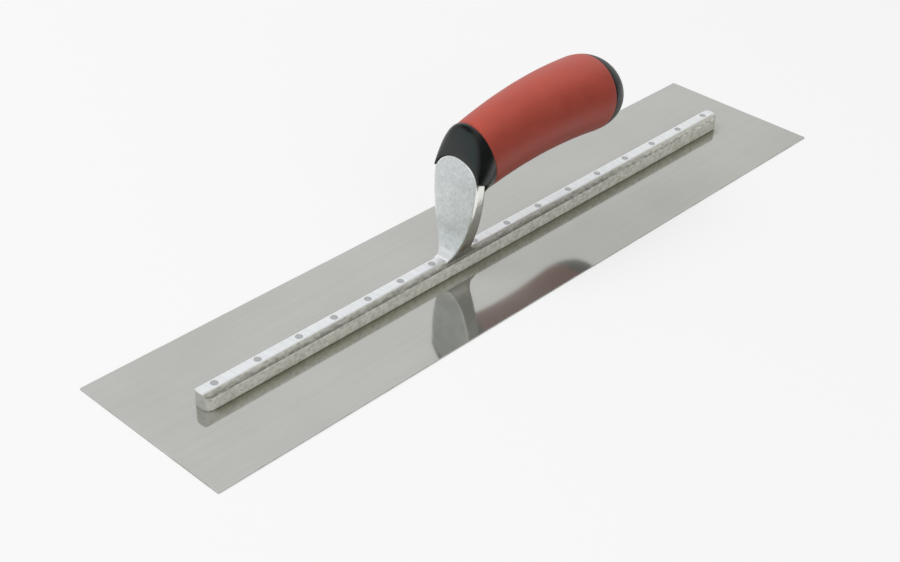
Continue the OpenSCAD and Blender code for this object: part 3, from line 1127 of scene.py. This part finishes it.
def satin_plastic(name, colours, roughness):
    """Moulded black plastic with a fine spark-eroded grain and faint handling marks."""
    material, tree, shader = new_material(name)
    at = place(tree)
    grain = noise(tree, at, PLASTIC_GRAIN, detail=2)
    marks = noise(tree, at, PLASTIC_MARKS, detail=4)
    connect(
        tree, shader,
        Base_Color=two_tone(tree, marks, colours, PLASTIC_RANGE),
        Roughness=remap(tree, marks, NOISE_RANGE, roughness),
        Normal=bump(tree, grain, PLASTIC_DEPTH, strength=0.3),
    )
    return material


def red_grip():
    """Soft red elastomer: fine stipple, a little dust in it, and a low sheen."""
    material, tree, shader = new_material("red_grip", Specular_IOR_Level=0.7)
    at = place(tree)
    stipple = noise(tree, at, GRIP_STIPPLE, detail=3)
    cloud = noise(tree, at, GRIP_CLOUDS, detail=4)
    tone = blend(tree, stipple, cloud, share=0.5)
    connect(
        tree, shader,
        Base_Color=two_tone(tree, tone, GRIP_COLOURS),
        Roughness=remap(tree, cloud, NOISE_RANGE, GRIP_ROUGHNESS),
        Normal=bump(tree, stipple, GRIP_DEPTH, strength=0.6),
    )
    return material


def zinc_steel():
    """Zinc-plated steel with a faint crystalline mottle."""
    material, tree, shader = new_material("zinc_steel", Metallic=0.9)
    mottle = noise(tree, place(tree), ZINC_MOTTLE, detail=3)
    connect(
        tree, shader,
        Base_Color=two_tone(tree, mottle, ZINC_COLOURS),
        Roughness=remap(tree, mottle, NOISE_RANGE, ZINC_ROUGHNESS),
        Normal=bump(tree, mottle, ZINC_DEPTH, strength=0.4),
    )
    return material


def dress_hidden_nodes(material):
    """The bolt and the washer inside the handle keep their CAD shape."""
    for node in ("handle_bolt", "washer"):
        mesh = frame["nodes"][node].data
        mesh.materials.clear()
        mesh.materials.append(material)


# Stage

def mirrored_ray(tree):
    path = add_node(tree, "ShaderNodeLightPath").outputs
    return largest(tree, path["Is Glossy Ray"], path["Is Transmission Ray"])


def camera_ray(tree):
    return add_node(tree, "ShaderNodeLightPath").outputs["Is Camera Ray"]


def floor_paint(tree):
    """Pale paint that glows to the backdrop's white for rays from the camera and in reflections."""
    glow = product(tree, largest(tree, camera_ray(tree), mirrored_ray(tree)), FLOOR_GLOW)
    paint = add_node(tree, "ShaderNodeBsdfDiffuse", {"Color": grey(FLOOR_COLOUR)}).outputs[0]
    light = add_node(tree, "ShaderNodeEmission", {"Color": grey(1.0), "Strength": glow}).outputs[0]
    return add_node(tree, "ShaderNodeAddShader", {0: paint, 1: light}).outputs[0]


def floor():
    """A floor just under the blade. In reflections it shows only near the trowel, as a white sheet."""
    low = -FLOOR_REACH
    high = FLOOR_REACH
    corners = [(low, low), (high, low), (high, high), (low, high)]
    plane = new_object("floor", [(x, y, -FLOOR_DROP) for x, y in corners], [(0, 1, 2, 3)])
    material = bpy.data.materials.new("floor")
    material.use_nodes = True
    tree = material.node_tree
    tree.nodes.clear()
    inputs = {0: place(tree), 1: SHEET_MIDDLE}
    reach = add_node(tree, "ShaderNodeVectorMath", inputs, operation="DISTANCE").outputs["Value"]
    beyond = product(tree, ramp(tree, reach, SHEET_FADE), mirrored_ray(tree))
    clear = add_node(tree, "ShaderNodeBsdfTransparent").outputs[0]
    surface = add_node(tree, "ShaderNodeMixShader", {0: beyond, 1: floor_paint(tree), 2: clear}).outputs[0]
    add_node(tree, "ShaderNodeOutputMaterial", {"Surface": surface})
    plane.data.materials.append(material)


def place_in_sky(tree):
    return add_node(tree, "ShaderNodeTexCoord").outputs["Generated"]


def ambient_colour(tree):
    """A soft light on matte surfaces that comes more from above."""
    _, _, height = split(tree, place_in_sky(tree))
    return mix_colour(tree, height, grey(AMBIENT_LOW), grey(AMBIENT_HIGH))


def room_colour(tree):
    """How bright the room is in a reflection, by the direction that is mirrored."""
    direction = place_in_sky(tree)
    colour = grey(ROOM)
    for centre, faint, full, part_colour in ROOM_PARTS:
        inputs = {0: direction, 1: Vector(centre).normalized()}
        toward = add_node(tree, "ShaderNodeVectorMath", inputs, operation="DOT_PRODUCT").outputs["Value"]
        colour = mix_colour(tree, ramp(tree, toward, (faint, full)), colour, (*part_colour, 1.0))
    return colour


def world():
    """A white backdrop for the camera, a room with lighter and darker parts for metal, and a soft light."""
    scene_world = bpy.data.worlds.new("studio")
    bpy.context.scene.world = scene_world
    scene_world.use_nodes = True
    tree = scene_world.node_tree
    tree.nodes.clear()
    colour = mix_colour(tree, mirrored_ray(tree), ambient_colour(tree), room_colour(tree))
    colour = mix_colour(tree, camera_ray(tree), colour, grey(BACKGROUND))
    sky = add_node(tree, "ShaderNodeBackground", {"Color": colour, "Strength": 1.0}).outputs[0]
    add_node(tree, "ShaderNodeOutputWorld", {"Surface": sky})


def lamp(name, position, size, power):
    """A square lamp turned to the trowel, which metal doesn't mirror."""
    data = bpy.data.lights.new(name, "AREA")
    data.size = size
    data.energy = power
    light = bpy.data.objects.new(name, data)
    light.location = position
    light.rotation_euler = (-Vector(position)).to_track_quat("-Z", "Y").to_euler()
    light.visible_glossy = False
    bpy.context.scene.collection.objects.link(light)


def camera_turn():
    """The camera's right, up and backward directions."""
    flat = math.cos(CAMERA_ELEVATION)
    back = Vector((
        math.sin(CAMERA_AZIMUTH) * flat,
        -math.cos(CAMERA_AZIMUTH) * flat,
        math.sin(CAMERA_ELEVATION),
    ))
    level = (-back).cross(Vector((0, 0, 1))).normalized()
    upright = level.cross(-back)
    right = level * math.cos(CAMERA_ROLL) + upright * math.sin(CAMERA_ROLL)
    up = upright * math.cos(CAMERA_ROLL) - level * math.sin(CAMERA_ROLL)
    return right, up, back


def camera():
    data = bpy.data.cameras.new("camera")
    data.sensor_fit = "HORIZONTAL"
    data.sensor_width = SENSOR_W
    data.lens = FOCAL_PX * SENSOR_W / IMAGE_W
    data.shift_x = (IMAGE_W / 2 - CENTRE_PX[0]) / IMAGE_W
    data.shift_y = (CENTRE_PX[1] - IMAGE_H / 2) / IMAGE_W
    data.clip_start = CAMERA_NEAR
    view = bpy.data.objects.new("camera", data)
    right, up, back = camera_turn()
    turn = Matrix((right, up, back)).transposed().to_4x4()
    view.matrix_world = Matrix.Translation(CAMERA_TARGET + back * CAMERA_DISTANCE) @ turn
    bpy.context.scene.collection.objects.link(view)
    bpy.context.scene.camera = view


blade_sheet(blade_steel())
casting(cast_aluminium())
rivet_set(rivet_steel())
collar(satin_plastic("black_plastic", COLLAR_COLOURS, COLLAR_ROUGHNESS))
sleeve(red_grip())
end_cap(satin_plastic("cap_plastic", CAP_COLOURS, CAP_ROUGHNESS))
dress_hidden_nodes(zinc_steel())

floor()
world()
for settings in LAMPS:
    lamp(*settings)
camera()
bpy.context.scene.view_settings.view_transform = "Standard"
